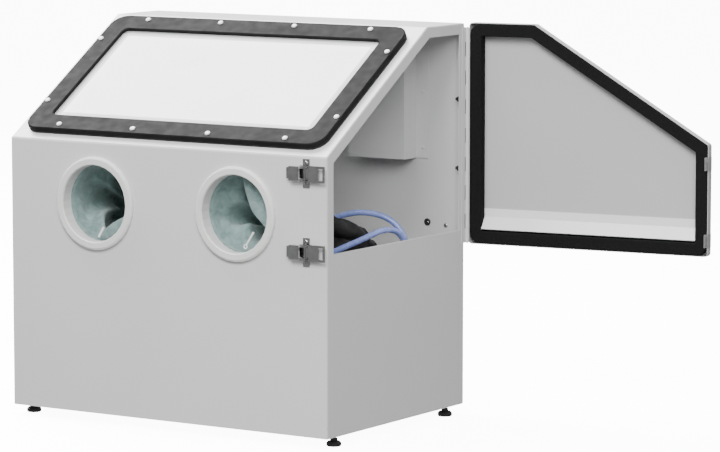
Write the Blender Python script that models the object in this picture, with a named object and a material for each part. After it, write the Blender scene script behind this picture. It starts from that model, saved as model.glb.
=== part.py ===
"""Bench-top sandblast cabinet: a folded sheet-steel casing with a sloped window, two arm ports
with gloves, a gasketed side door on a full-height hinge and two draw latches.

Metres, +Z up.  The origin is the centre of the casing's underside: +X is the operator's right,
-Y is the front, where the arm ports are.  The door stands open, as it does to load the cabinet.
"""
import math

import bmesh
import bpy
from mathutils import Matrix, Vector

# ---------------------------------------------------------------- driving dimensions
WIDTH = 0.700
DEPTH = 0.462
FRONT_HEIGHT = 0.500
HEIGHT = 0.710
ROOF_DEPTH = 0.130
SHEET = 0.0015
BEND = 0.003                       # outside radius of the casing's folds
GAP = 0.0003                       # clearance between pieces that touch

HALF_W = WIDTH / 2
FRONT = -DEPTH / 2
REAR = DEPTH / 2
ROOF_FRONT = REAR - ROOF_DEPTH
INNER_W = HALF_W - SHEET
INNER_REAR = REAR - SHEET

# side door opening, in (y, z)
OPENING_SILL = 0.326
OPENING_TOP = 0.690
OPENING_BORDER = 0.0205            # steel left beside the opening, front and slope
REAR_LAP = 0.0185                  # the rear panel's flanges lap this far round onto the sides
OPENING_HEM = 0.009                # folded-in edge round the opening

# arm ports
PORT_X = 0.1555
PORT_Z = 0.388
PORT_BORE = 0.0705
PORT_TUBE = 0.0727
PORT_FLANGE = 0.086
PORT_DEPTH = 0.038                 # the ring's tube, behind the front face
PORT_PROUD = 0.0072                # the ring's flange, ahead of it
CLAMP_INNER = 0.0774
CLAMP_OUTER = 0.0786
CLAMP_NEAR = 0.016
CLAMP_FAR = 0.027

# window, in slope coordinates: x across, v up the slope, h off the steel
WINDOW_HALF_W = 0.330
WINDOW_LOW = 0.016
WINDOW_HIGH = 0.372
WINDOW_RADIUS = 0.030
FRAME_WIDTH = 0.042
WINDOW_OVERLAP = 0.013             # steel seen through the pane, inside the frame
SCREW_COLUMNS = (-0.250, -0.083, 0.083, 0.250)
SCREW_ROWS = (0.0975, 0.294)
SCREW_SIDE_X = 0.321
SCREW_LOW_V = 0.0288
SCREW_HIGH_V = 0.3592
SCREW_SHANK = 0.0022
GASKET_TOP = 0.0033                # heights off the steel
PANE_LOW = 0.0036
PANE_HIGH = 0.0076
PANE_INSET = 0.0162                # the pane's edge, in from the frame's
FRAME_TOP = 0.0140
FRAME_CHAMFER = 0.0015

# side door, hinged on a vertical pin behind the right rear corner
HINGE_X = 0.3538
HINGE_Y = 0.235
DOOR_OPEN_DEG = 97.5
DOOR_LOW = 0.3005
DOOR_HIGH = 0.711
DOOR_REAR = HINGE_Y - 0.0038
DOOR_FRONT = HINGE_Y - 0.474
DOOR_CORNER_Z = 0.5035             # where the door's slope meets its front edge
DOOR_RIM_X = 0.3520
DOOR_OUTER_X = 0.3720
DOOR_SHEET = 0.0012
GASKET_WIDTH = 0.023
GASKET_FACE_X = 0.3517
FOAM_RADIUS = 0.022
DEFLECTOR_TOP = 0.366
HINGE_LOW = 0.302
HINGE_HIGH = 0.702
KNUCKLES = 15
KNUCKLE_RADIUS = 0.0035
PIN_RADIUS = 0.0013
LEAF_WIDTH = 0.0145                # from the pin's middle to the leaf's far edge

# draw latches on the front face
LATCH_X = 0.306
LATCH_HEIGHTS = {"lower": 0.330, "upper": 0.4695}
LEVER_PIVOT = (0.002, 0.0080)      # (along x, off the face) from the latch's centre
LOOP_PIVOT = (-0.004, 0.0077)

# inside
GRATE_TOP = 0.2828
GRATE_SHEET = 0.003
HOPPER_TOP = 0.205
HOPPER_LOW = 0.0335
HOPPER_BOTTOM = 0.040              # half the depth of its flat bottom
HOPPER_FLANGE = 0.012
HOPPER_SIDE_GAP = 0.0005
HOSE_RADIUS = 0.0055
GUN_Z = 0.2992
GUN_Y = 0.040
TRIGGER_PIVOT = (-0.001, 0.0185)   # in (x, y), level with the barrel
TRIGGER_TIP = (0.007, -0.033)
TRIGGER_HALF_WIDTH = 0.0035
TRIGGER_HALF_HEIGHT = 0.005
FOOT_X = 0.3355
FOOT_Y = 0.188
FOOT_HEIGHT = 0.019
FOOT_STUD = 0.0040
FOOT_PAD = 0.0135

# rear wall: each fitting's middle (x, z) and the radius of its hole
EXHAUST_X = 0.1845
EXHAUST_Z = 0.600
EXHAUST_HOLE = 0.0355
GROMMET_X = 0.271
GROMMET_Z = 0.336
GROMMET_HOLE = 0.0050
BULKHEAD_X = 0.299
BULKHEAD_Z = 0.236
BULKHEAD_HOLE = 0.0063
BAFFLE_LEFT = 0.123
BAFFLE_RIGHT = 0.246
BAFFLE_LIP = 0.027
BAFFLE_FACE = 0.186                # its front, 43 mm off the rear wall
BAFFLE_LOW = 0.455
BAFFLE_HIGH = 0.705

# grate: square holes in rows, and the larger opening for the hoses as (low, high) in x and y
GRATE_COLUMNS = 13
GRATE_ROWS = 8
GRATE_HOLE = 0.034
GRATE_PITCH_X = 0.0505
GRATE_PITCH_Y = 0.0525
HOSE_HOLE_X = (0.270, 0.330)
HOSE_HOLE_Y = (0.086, 0.158)
GRATE_WHOLE_X = 0.24               # no square holes beyond this x ...
GRATE_WHOLE_Y = (0.05, 0.19)       # ... between these y

CUT = 0.005                        # a cutter reaches this far past the sheet it goes through
SMOOTH_DEG = 35                    # edges sharper than this stay crisp on rounded parts

# middle lines of the two hoses, from their fitting to the gun
SUCTION_ROUTE = [
    (0.1105, 0.0402, 0.1410), (0.126, 0.046, 0.158), (0.143, 0.0525, 0.176), (0.166, 0.064, 0.194),
    (0.195, 0.083, 0.208), (0.230, 0.108, 0.217), (0.262, 0.130, 0.229), (0.2795, 0.1385, 0.2475),
    (0.288, 0.1385, 0.268), (0.2905, 0.132, 0.286), (0.2915, 0.1258, 0.301), (0.2905, 0.1212, 0.313),
    (0.2866, 0.118, 0.325), (0.2797, 0.1152, 0.336), (0.269, 0.112, 0.347), (0.255, 0.106, 0.356),
    (0.237, 0.099, 0.3615), (0.215, 0.091, 0.3635), (0.194, 0.0825, 0.361), (0.172, 0.074, 0.3545),
    (0.146, 0.064, 0.342), (0.118, 0.053, 0.325), (0.093, 0.045, 0.310), (0.071, 0.0405, 0.3015),
    (0.0485, 0.040, 0.2992),
]
AIR_ROUTE = [
    (0.299, 0.2087, 0.236), (0.299, 0.190, 0.236), (0.2995, 0.168, 0.239), (0.301, 0.146, 0.249),
    (0.302, 0.130, 0.265), (0.302, 0.119, 0.284), (0.3005, 0.110, 0.303), (0.2985, 0.098, 0.321),
    (0.297, 0.081, 0.334), (0.2935, 0.060, 0.3395), (0.289, 0.038, 0.3390), (0.284, 0.013, 0.3335),
    (0.278, -0.018, 0.326), (0.272, -0.052, 0.319), (0.266, -0.085, 0.312), (0.257, -0.115, 0.303),
    (0.242, -0.141, 0.294), (0.218, -0.158, 0.2895), (0.190, -0.166, 0.2886), (0.155, -0.163, 0.2886),
    (0.120, -0.151, 0.2886), (0.088, -0.134, 0.2888), (0.064, -0.116, 0.2905), (0.048, -0.096, 0.2950),
    (0.0393, -0.0735, 0.2985), (0.0353, -0.0533, 0.2992),
]

# glove stations: (out from the port's middle, y, z, half width, half height)
GLOVE_STATIONS = [
    (0.000, -0.222, 0.388, 0.0770, 0.0770),
    (0.000, -0.192, 0.388, 0.0770, 0.0770),
    (0.020, -0.065, 0.350, 0.0620, 0.0530),
    (0.052, 0.070, 0.315, 0.0500, 0.0300),
    (0.069, 0.128, 0.303, 0.0230, 0.0130),
]
GLOVE_WALL = 0.0025
GLOVE_SIDES = 16

FINISHES = {                       # colour, roughness, metallic
    "casing_paint": ((0.55, 0.55, 0.56), 0.40, 0.0),
    "door_paint": ((0.50, 0.50, 0.51), 0.42, 0.0),
    "black_rubber": ((0.02, 0.02, 0.02), 0.70, 0.0),
    "frame_plastic": ((0.13, 0.13, 0.13), 0.45, 0.0),
    "clear_pane": ((0.90, 0.91, 0.91), 0.10, 0.0),
    "white_screw": ((0.85, 0.85, 0.85), 0.35, 0.0),
    "port_plastic": ((0.70, 0.70, 0.67), 0.40, 0.0),
    "glove_rubber": ((0.015, 0.015, 0.015), 0.65, 0.0),
    "foam": ((0.020, 0.020, 0.020), 0.90, 0.0),
    "chrome": ((0.60, 0.60, 0.60), 0.22, 1.0),
    "zinc_steel": ((0.45, 0.45, 0.45), 0.40, 1.0),
    "brass": ((0.70, 0.52, 0.25), 0.35, 1.0),
    "blue_hose": ((0.36, 0.44, 0.85), 0.25, 0.0),
    "gun_metal": ((0.40, 0.40, 0.41), 0.45, 1.0),
    "ceramic": ((0.80, 0.78, 0.72), 0.40, 0.0),
    "lamp_white": ((0.80, 0.80, 0.78), 0.35, 0.0),
}


# ---------------------------------------------------------------- tools
def clear_objects():
    for old in list(bpy.data.objects):
        bpy.data.objects.remove(old, do_unlink=True)


def make_finish(name):
    made = bpy.data.materials.get(name)
    if made:
        return made
    colour, roughness, metallic = FINISHES[name]
    made = bpy.data.materials.new(name)
    made.use_nodes = True
    shader = made.node_tree.nodes["Principled BSDF"]
    shader.inputs["Base Color"].default_value = (*colour, 1.0)
    shader.inputs["Roughness"].default_value = roughness
    shader.inputs["Metallic"].default_value = metallic
    return made


def add_part(name, bm, finish, pivot=None, smooth=False):
    """Turn bm, drawn in the cabinet's frame, into an object whose origin is at pivot."""
    origin = Vector(pivot) if pivot else Vector()
    bmesh.ops.translate(bm, verts=bm.verts, vec=-origin)
    bmesh.ops.recalc_face_normals(bm, faces=bm.faces)
    mesh = bpy.data.meshes.new(name)
    bm.to_mesh(mesh)
    bm.free()
    if smooth:
        mesh.shade_smooth()
        mesh.set_sharp_from_angle(angle=math.radians(SMOOTH_DEG))
    mesh.materials.append(make_finish(finish))
    part = bpy.data.objects.new(name, mesh)
    bpy.context.scene.collection.objects.link(part)
    part.location = origin
    return part


def apply_boolean(part, tool_bm, operation):
    """Cut or join part with a hidden tool that is drawn in the cabinet's frame."""
    tool = add_part(part.name + "_tool", tool_bm, "zinc_steel", tuple(part.location))
    tool.hide_render = True
    tool.display_type = "WIRE"
    modifier = part.modifiers.new(operation.lower(), "BOOLEAN")
    modifier.operation = operation
    modifier.solver = "EXACT"
    modifier.object = tool


def loft(loops, closed=False, placed=None):
    """Skin loops of equal count; the ends are joined to each other, or capped."""
    bm = bmesh.new()
    rows = []
    for points in loops:
        rows.append([bm.verts.new(placed @ Vector(p) if placed else Vector(p)) for p in points])
    count = len(rows[0])
    pairs = list(zip(rows, rows[1:]))
    if closed:
        pairs.append((rows[-1], rows[0]))
    for low, high in pairs:
        for i in range(count):
            j = (i + 1) % count
            bm.faces.new((low[i], low[j], high[j], high[i]))
    if not closed:
        bm.faces.new(rows[0][::-1])
        bm.faces.new(rows[-1])
    return bm


def prism(outline, axis, low, high):
    """Extrude an outline along one axis.  X takes (y, z), Y takes (x, z) and Z takes (x, y)."""
    place = {
        "X": lambda p, d: (d, p[0], p[1]),
        "Y": lambda p, d: (p[0], d, p[1]),
        "Z": lambda p, d: (p[0], p[1], d),
    }[axis]
    return loft([[place(p, low) for p in outline], [place(p, high) for p in outline]])


def box(low, high):
    outline = [(low[0], low[1]), (high[0], low[1]), (high[0], high[1]), (low[0], high[1])]
    return prism(outline, "Z", low[2], high[2])


def join_bmeshes(parts):
    """Put several separate bodies into one bmesh, for use as a Boolean's tool."""
    whole = bmesh.new()
    for bm in parts:
        mesh = bpy.data.meshes.new("scratch")
        bm.to_mesh(mesh)
        bm.free()
        whole.from_mesh(mesh)
        bpy.data.meshes.remove(mesh)
    return whole


def revolve(profile, placed, segments=24):
    """Turn a closed (radius, height) profile about local Z; a zero radius closes the end."""
    def circle(radius, height):
        angles = [2 * math.pi * i / segments for i in range(segments)]
        return [(radius * math.cos(a), radius * math.sin(a), height) for a in angles]

    solid = profile[0][0] == 0
    body = profile[1:-1] if solid else profile
    return loft([circle(r, h) for r, h in body], closed=not solid, placed=placed)


def inset_corners(corners, distance):
    """Move each side of a counter-clockwise outline inwards and return the new corners."""
    result = []
    for i, corner in enumerate(corners):
        before = (Vector(corner) - Vector(corners[i - 1])).normalized()
        after = (Vector(corners[(i + 1) % len(corners)]) - Vector(corner)).normalized()
        inward_before = Vector((-before.y, before.x))
        inward_after = Vector((-after.y, after.x))
        middle = (inward_before + inward_after).normalized()
        result.append(Vector(corner) + middle * (distance / middle.dot(inward_after)))
    return result


def rounded_outline(corners, radius, inset=0.0, steps=3, smallest=0.001):
    """Outline of a convex, counter-clockwise shape, inset, with its corners turned to arcs."""
    moved = inset_corners(corners, inset)
    turn = max(radius - inset, smallest)
    points = []
    for i, corner in enumerate(moved):
        back = (moved[i - 1] - corner).normalized()
        ahead = (moved[(i + 1) % len(moved)] - corner).normalized()
        half = back.angle(ahead) / 2
        start = corner + back * (turn / math.tan(half))
        centre = corner + (back + ahead).normalized() * (turn / math.sin(half))
        sweep = math.pi - 2 * half
        arm = start - centre
        for k in range(steps + 1):
            points.append(centre + Matrix.Rotation(sweep * k / steps, 2) @ arm)
    return points


def along(axis, origin):
    """Matrix that lays local Z along a world direction, with its origin at a point."""
    turn = Vector(axis).to_track_quat("Z", "Y").to_matrix().to_4x4()
    return Matrix.Translation(Vector(origin)) @ turn


def smooth_route(route, per_span):
    """Catmull-Rom curve through the route's points."""
    points = [Vector(p) for p in route]
    ends = [points[0] * 2 - points[1]] + points + [points[-1] * 2 - points[-2]]
    result = []
    for a, b, c, d in zip(ends, ends[1:], ends[2:], ends[3:]):
        for k in range(per_span):
            t = k / per_span
            result.append(
                0.5 * (2 * b + (c - a) * t + (2 * a - 5 * b + 4 * c - d) * t * t
                       + (3 * b - a - 3 * c + d) * t ** 3)
            )
    result.append(points[-1])
    return result


# ---------------------------------------------------------------- casing
SLOPE_RUN = Vector((0, ROOF_FRONT - FRONT, HEIGHT - FRONT_HEIGHT)).normalized()
SLOPE_OUT = Vector((0, -SLOPE_RUN.z, SLOPE_RUN.y))
SLOPE_FRAME = Matrix((
    (1, 0, 0, 0),
    (0, SLOPE_RUN.y, SLOPE_OUT.y, FRONT),
    (0, SLOPE_RUN.z, SLOPE_OUT.z, FRONT_HEIGHT),
    (0, 0, 0, 1),
))
CASING_FACES = {                   # a point on each outer face, and its outward normal
    "front": (Vector((0, FRONT, 0)), Vector((0, -1, 0))),
    "slope": (Vector((0, FRONT, FRONT_HEIGHT)), SLOPE_OUT),
    "roof": (Vector((0, 0, HEIGHT)), Vector((0, 0, 1))),
    "rear": (Vector((0, REAR, 0)), Vector((0, 1, 0))),
    "left": (Vector((-HALF_W, 0, 0)), Vector((-1, 0, 0))),
    "right": (Vector((HALF_W, 0, 0)), Vector((1, 0, 0))),
    "floor": (Vector((0, 0, 0)), Vector((0, 0, -1))),
}
SIDE_PROFILE = [
    (FRONT, 0), (REAR, 0), (REAR, HEIGHT), (ROOF_FRONT, HEIGHT), (FRONT, FRONT_HEIGHT),
]


def casing_block():
    """The casing's outer shape as one solid, its edges rounded except round the underside."""
    bm = prism(SIDE_PROFILE, "X", -HALF_W, HALF_W)
    edges = [e for e in bm.edges if max(v.co.z for v in e.verts) > 0]
    bmesh.ops.bevel(bm, geom=edges, offset=BEND, segments=3, profile=0.5, affect="EDGES")
    return bm


def keep_below(bm, point, normal):
    """Cut bm by a plane, keep the side the normal points away from and close the cut."""
    geometry = bm.verts[:] + bm.edges[:] + bm.faces[:]
    bmesh.ops.bisect_plane(bm, geom=geometry, plane_co=point, plane_no=normal, clear_outer=True)
    bmesh.ops.holes_fill(bm, edges=[e for e in bm.edges if e.is_boundary])


def casing_plate(face, neighbours):
    """One face of the casing, a sheet thick, mitred against its neighbours."""
    bm = casing_block()
    point, normal = CASING_FACES[face]
    for other in neighbours:
        other_point, other_normal = CASING_FACES[other]
        mitre = other_normal - normal
        reach = (other_point.dot(other_normal) - point.dot(normal)) / mitre.length
        mitre.normalize()
        keep_below(bm, mitre * (reach - GAP / 2), mitre)
    keep_below(bm, point - normal * SHEET, -normal)
    return bm


def opening_outline(grow=0.0):
    """Side door opening in (y, z); the rear panel's flange closes its rear edge."""
    corners = inset_corners(SIDE_PROFILE, OPENING_BORDER - grow)
    roof_corner, front_corner = corners[3], corners[4]
    top = OPENING_TOP + grow
    share = (top - front_corner.y) / (roof_corner.y - front_corner.y)
    slope_top = front_corner.lerp(roof_corner, share)
    rear = REAR - REAR_LAP + OPENING_BORDER
    sill = OPENING_SILL - grow
    return [
        (front_corner.x, sill), (rear, sill), (rear, top), (slope_top.x, top), tuple(front_corner),
    ]


def build_side_panels():
    lap = Vector((0, REAR - REAR_LAP - GAP, 0))
    for side in ("left", "right"):
        bm = casing_plate(side, ("front", "slope", "roof", "floor"))
        keep_below(bm, lap, Vector((0, 1, 0)))
        panel = add_part(side + "_side_panel", bm, "casing_paint")
        if side == "right":
            hem = prism(opening_outline(SHEET), "X", HALF_W - OPENING_HEM, HALF_W - SHEET / 2)
            keep_below(hem, lap, Vector((0, 1, 0)))
            apply_boolean(panel, hem, "UNION")
            panel.modifiers[-1].object.name = "side_hem_tool"
            hole = prism(opening_outline(), "X", HALF_W - 2 * OPENING_HEM, HALF_W + OPENING_HEM)
            apply_boolean(panel, hole, "DIFFERENCE")


def build_front_panel():
    plate = casing_plate("front", ("left", "right", "slope", "floor"))
    panel = add_part("front_panel", plate, "casing_paint")
    slack = 0.0008                 # between each port ring's tube and its hole
    holes = []
    for x in (-PORT_X, PORT_X):
        placed = along((0, 1, 0), (x, FRONT - CUT, PORT_Z))
        holes.append(drill(PORT_TUBE + slack, 2 * CUT, placed, 32))
    apply_boolean(panel, join_bmeshes(holes), "DIFFERENCE")


def drill(radius, length, placed, segments):
    """A round cutter from the placed origin along its local Z."""
    return revolve([(0, 0), (radius, 0), (radius, length), (0, length)], placed, segments)


def window_corners():
    return [
        (-WINDOW_HALF_W, WINDOW_LOW), (WINDOW_HALF_W, WINDOW_LOW),
        (WINDOW_HALF_W, WINDOW_HIGH), (-WINDOW_HALF_W, WINDOW_HIGH),
    ]


def window_loop(inset, height):
    outline = rounded_outline(window_corners(), WINDOW_RADIUS, inset, steps=4, smallest=0.012)
    return [(p.x, p.y, height) for p in outline]


def window_ring(profile):
    loops = [window_loop(inset, height) for inset, height in profile]
    return loft(loops, closed=True, placed=SLOPE_FRAME)


def screw_places():
    """The twelve window screws, in slope coordinates."""
    places = [(x, SCREW_LOW_V) for x in SCREW_COLUMNS]
    places += [(x, SCREW_HIGH_V) for x in SCREW_COLUMNS]
    places += [(x, v) for x in (-SCREW_SIDE_X, SCREW_SIDE_X) for v in SCREW_ROWS]
    return places


def screw_holes():
    radius = SCREW_SHANK + 0.0004
    length = FRAME_TOP + 0.0110
    holes = []
    for x, v in screw_places():
        placed = SLOPE_FRAME @ Matrix.Translation((x, v, -CUT))
        holes.append(drill(radius, length, placed, 8))
    return join_bmeshes(holes)


def build_slope_panel():
    plate = casing_plate("slope", ("front", "roof", "left", "right"))
    panel = add_part("slope_panel", plate, "casing_paint")
    inset = FRAME_WIDTH + WINDOW_OVERLAP
    light = loft([window_loop(inset, h) for h in (-2 * CUT, 2 * CUT)], placed=SLOPE_FRAME)
    apply_boolean(panel, light, "DIFFERENCE")
    panel.modifiers[-1].object.name = "window_light_tool"
    apply_boolean(panel, screw_holes(), "DIFFERENCE")


def build_window():
    edge = 0.0005
    gasket = window_ring([
        (edge, GAP), (edge, GASKET_TOP), (FRAME_WIDTH, GASKET_TOP), (FRAME_WIDTH, GAP),
    ])
    apply_boolean(add_part("window_gasket", gasket, "black_rubber"), screw_holes(), "DIFFERENCE")
    pane = loft([window_loop(PANE_INSET, h) for h in (PANE_LOW, PANE_HIGH)], placed=SLOPE_FRAME)
    add_part("window_pane", pane, "clear_pane")
    rebate = PANE_INSET - 0.0004
    ledge = PANE_HIGH + GAP
    shoulder = FRAME_TOP - FRAME_CHAMFER
    frame = window_ring([
        (0, PANE_LOW), (0, shoulder), (FRAME_CHAMFER, FRAME_TOP),
        (FRAME_WIDTH - FRAME_CHAMFER, FRAME_TOP), (FRAME_WIDTH, shoulder), (FRAME_WIDTH, ledge),
        (rebate, ledge), (rebate, PANE_LOW),
    ])
    apply_boolean(add_part("window_frame", frame, "frame_plastic"), screw_holes(), "DIFFERENCE")
    head = FRAME_TOP + GAP
    tip = -0.004
    profile = [
        (0, tip), (SCREW_SHANK, tip), (SCREW_SHANK, head), (0.0052, head),
        (0.0052, head + 0.0009), (0.0040, head + 0.0023), (0.0018, head + 0.0029), (0, head + 0.0029),
    ]
    for number, (x, v) in enumerate(screw_places(), start=1):
        screw = revolve(profile, SLOPE_FRAME @ Matrix.Translation((x, v, 0)), 10)
        add_part(f"window_screw_{number:02d}", screw, "white_screw", smooth=True)


def build_roof_and_floor():
    roof = casing_plate("roof", ("slope", "left", "right"))
    add_part("roof_panel", roof, "casing_paint")
    floor = casing_plate("floor", ("front", "rear", "left", "right"))
    floor_pan = add_part("floor_pan", floor, "casing_paint")
    holes = []
    for x in (-FOOT_X, FOOT_X):
        for y in (-FOOT_Y, FOOT_Y):
            placed = along((0, 0, 1), (x, y, -CUT))
            holes.append(drill(FOOT_STUD + 0.0005, 2 * CUT, placed, 12))
    apply_boolean(floor_pan, join_bmeshes(holes), "DIFFERENCE")


def build_rear_panel():
    """A shallow channel: the rear wall with a flange lapped round onto each side."""
    bm = casing_block()
    keep_below(bm, Vector((0, REAR - REAR_LAP, 0)), Vector((0, -1, 0)))
    keep_below(bm, Vector((0, 0, HEIGHT - SHEET - GAP)), Vector((0, 0, 1)))
    keep_below(bm, Vector((0, 0, SHEET + GAP)), Vector((0, 0, -1)))
    panel = add_part("rear_panel", bm, "casing_paint")
    hollow = box((-INNER_W, 0, -2 * CUT), (INNER_W, INNER_REAR, HEIGHT))
    apply_boolean(panel, hollow, "DIFFERENCE")
    panel.modifiers[-1].object.name = "rear_hollow_tool"
    fittings = (
        (EXHAUST_X, EXHAUST_Z, EXHAUST_HOLE),
        (GROMMET_X, GROMMET_Z, GROMMET_HOLE),
        (BULKHEAD_X, BULKHEAD_Z, BULKHEAD_HOLE),
    )
    holes = []
    for x, z, radius in fittings:
        placed = along((0, 1, 0), (x, INNER_REAR - CUT, z))
        holes.append(drill(radius, 2 * CUT + 0.002, placed, 20))
    apply_boolean(panel, join_bmeshes(holes), "DIFFERENCE")


# ---------------------------------------------------------------- arm ports and gloves
def build_ports():
    profile = [
        (PORT_TUBE, PORT_DEPTH), (PORT_BORE, PORT_DEPTH), (PORT_BORE, -0.0050),
        (0.0722, -PORT_PROUD), (0.0818, -PORT_PROUD), (0.0852, -0.0054),
        (PORT_FLANGE, -0.0025), (PORT_FLANGE, -GAP), (PORT_TUBE, -GAP),
    ]
    band = [
        (CLAMP_INNER, CLAMP_NEAR), (CLAMP_OUTER, CLAMP_NEAR),
        (CLAMP_OUTER, CLAMP_FAR), (CLAMP_INNER, CLAMP_FAR),
    ]
    for side, x in (("left", -PORT_X), ("right", PORT_X)):
        placed = along((0, 1, 0), (x, FRONT, PORT_Z))
        ring = revolve(profile, placed, 32)
        add_part(side + "_port_ring", ring, "port_plastic", smooth=True)
        clamp = revolve(band, placed, GLOVE_SIDES)
        add_part(side + "_glove_clamp", clamp, "zinc_steel", smooth=True)
        build_glove(side, math.copysign(1, x))


def glove_loop(side, station, wall):
    out, y, z, half_w, half_h = station
    points = []
    for k in range(GLOVE_SIDES):
        angle = 2 * math.pi * k / GLOVE_SIDES
        x = side * (PORT_X + out) + (half_w - wall) * math.cos(angle)
        points.append((x, y, z + (half_h - wall) * math.sin(angle)))
    return points


def build_glove(name, side):
    """A sleeve from the port ring that ends in a hand: open at the cuff, closed at the fingers."""
    inner = [glove_loop(side, s, GLOVE_WALL) for s in GLOVE_STATIONS[-2::-1]]
    outer = [glove_loop(side, s, 0.0) for s in GLOVE_STATIONS]
    add_part(name + "_glove", loft(inner + outer), "glove_rubber", smooth=True)


# ---------------------------------------------------------------- rear wall fittings
def build_rear_fittings():
    wall = INNER_REAR - GAP
    flange = wall - SHEET
    left_edge = BAFFLE_LEFT - BAFFLE_LIP
    right_edge = BAFFLE_RIGHT + BAFFLE_LIP
    inner_left = BAFFLE_LEFT + SHEET
    inner_right = BAFFLE_RIGHT - SHEET
    inner_face = BAFFLE_FACE + SHEET
    outline = [
        (left_edge, flange), (BAFFLE_LEFT, flange), (BAFFLE_LEFT, BAFFLE_FACE),
        (BAFFLE_RIGHT, BAFFLE_FACE), (BAFFLE_RIGHT, flange), (right_edge, flange),
        (right_edge, wall), (inner_right, wall), (inner_right, inner_face),
        (inner_left, inner_face), (inner_left, wall), (left_edge, wall),
    ]
    baffle = prism(outline, "Z", BAFFLE_LOW, BAFFLE_HIGH)
    add_part("exhaust_baffle", baffle, "casing_paint")
    outlet = [
        (0.0330, -0.004), (0.0350, -0.004), (0.0350, SHEET + GAP), (0.0500, SHEET + GAP),
        (0.0500, SHEET + 0.0023), (0.0358, SHEET + 0.0023), (0.0350, 0.036), (0.0330, 0.036),
    ]
    placed = along((0, 1, 0), (EXHAUST_X, INNER_REAR, EXHAUST_Z))
    add_part("exhaust_outlet", revolve(outlet, placed, 24), "zinc_steel", smooth=True)
    grommet = [
        (0.0025, -0.0030), (0.0050, -0.0030), (0.0068, -0.0018), (0.0068, -GAP),
        (0.0047, -GAP), (0.0047, SHEET + GAP), (0.0068, SHEET + GAP), (0.0068, 0.0035),
        (0.0050, 0.0045), (0.0025, 0.0045),
    ]
    placed = along((0, 1, 0), (GROMMET_X, INNER_REAR, GROMMET_Z))
    add_part("cable_grommet", revolve(grommet, placed, 16), "black_rubber", smooth=True)
    bulkhead = [
        (0, -0.0205), (0.0042, -0.0205), (0.0055, -0.012), (0.0095, -0.012), (0.0095, -GAP),
        (0.0060, -GAP), (0.0060, SHEET + GAP), (0.0100, SHEET + GAP), (0.0100, 0.010),
        (0.0055, 0.010), (0.0055, 0.018), (0.0045, 0.020), (0.0055, 0.024), (0.0048, 0.028),
        (0, 0.028),
    ]
    placed = along((0, 1, 0), (BULKHEAD_X, INNER_REAR, BULKHEAD_Z))
    add_part("air_bulkhead", revolve(bulkhead, placed, 12), "brass", smooth=True)


def build_lamp():
    """A sealed strip lamp under the front of the roof."""
    front, back = 0.112, 0.140
    corner = 0.006
    top = HEIGHT - SHEET - GAP
    low = top - 0.020
    profile = [
        (front, top), (front, low + corner), (front + corner, low),
        (back - corner, low), (back, low + corner), (back, top),
    ]
    add_part("strip_lamp", prism(profile, "X", -0.200, 0.060), "lamp_white")


# ---------------------------------------------------------------- grate and hopper
def build_grate():
    half_x = INNER_W - GAP
    half_y = INNER_REAR - GAP
    corners = [(-half_x, -half_y), (half_x, -half_y), (half_x, half_y), (-half_x, half_y)]
    seat = GRATE_TOP - GRATE_SHEET - GAP
    leg = 0.012                    # both legs of the ledge's angle section
    section = [(0, leg), (SHEET, leg), (SHEET, 0), (leg, 0), (leg, -SHEET), (0, -SHEET)]
    loops = []
    for inset, height in section:
        loops.append([(p.x, p.y, seat + height) for p in inset_corners(corners, inset)])
    add_part("grate_frame", loft(loops, closed=True), "casing_paint")
    edge = 0.004
    low = Vector((-half_x + edge, -half_y + edge, GRATE_TOP - GRATE_SHEET))
    high = Vector((half_x - edge, half_y - edge, GRATE_TOP))
    grate = add_part("work_grate", box(low, high), "zinc_steel")
    apply_boolean(grate, grate_holes(), "DIFFERENCE")


def grate_holes():
    """Square holes in rows, left whole round the opening that the hoses come up through."""
    low = GRATE_TOP - GRATE_SHEET - CUT
    high = GRATE_TOP + CUT
    half = GRATE_HOLE / 2
    holes = [box((HOSE_HOLE_X[0], HOSE_HOLE_Y[0], low), (HOSE_HOLE_X[1], HOSE_HOLE_Y[1], high))]
    for i in range(GRATE_COLUMNS):
        for j in range(GRATE_ROWS):
            x = (i - (GRATE_COLUMNS - 1) / 2) * GRATE_PITCH_X
            y = (j - (GRATE_ROWS - 1) / 2) * GRATE_PITCH_Y
            if x > GRATE_WHOLE_X and GRATE_WHOLE_Y[0] < y < GRATE_WHOLE_Y[1]:
                continue
            holes.append(box((x - half, y - half, low), (x + half, y + half, high)))
    return join_bmeshes(holes)


def build_hopper():
    """Trough with a sloping front and rear, upright ends and a flat bottom, and a flange round its rim."""
    def loop(x, y, z):
        return [(-x, -y, z), (x, -y, z), (x, y, z), (-x, y, z)]

    rim_x = INNER_W - HOPPER_SIDE_GAP
    rim_y = INNER_REAR - HOPPER_SIDE_GAP
    end_x = rim_x - HOPPER_FLANGE
    top_y = rim_y - HOPPER_FLANGE
    loops = [
        loop(end_x, HOPPER_BOTTOM, HOPPER_LOW),
        loop(end_x, top_y, HOPPER_TOP),
        loop(rim_x, rim_y, HOPPER_TOP),
        loop(rim_x, rim_y, HOPPER_TOP + SHEET),
        loop(end_x - SHEET, top_y + SHEET, HOPPER_TOP + SHEET),
        loop(end_x - SHEET, HOPPER_BOTTOM - SHEET, HOPPER_LOW + SHEET),
    ]
    add_part("hopper", loft(loops), "casing_paint")


def build_pickup_tube():
    top = Vector(SUCTION_ROUTE[0])
    direction = (Vector(SUCTION_ROUTE[1]) - top).normalized()
    length = 0.130
    wall = [(0.0042, 0), (0.0058, 0), (0.0058, length), (0.0042, length)]
    placed = along(direction, top - direction * (length + GAP))
    add_part("pickup_tube", revolve(wall, placed, 12), "zinc_steel", smooth=True)


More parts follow.
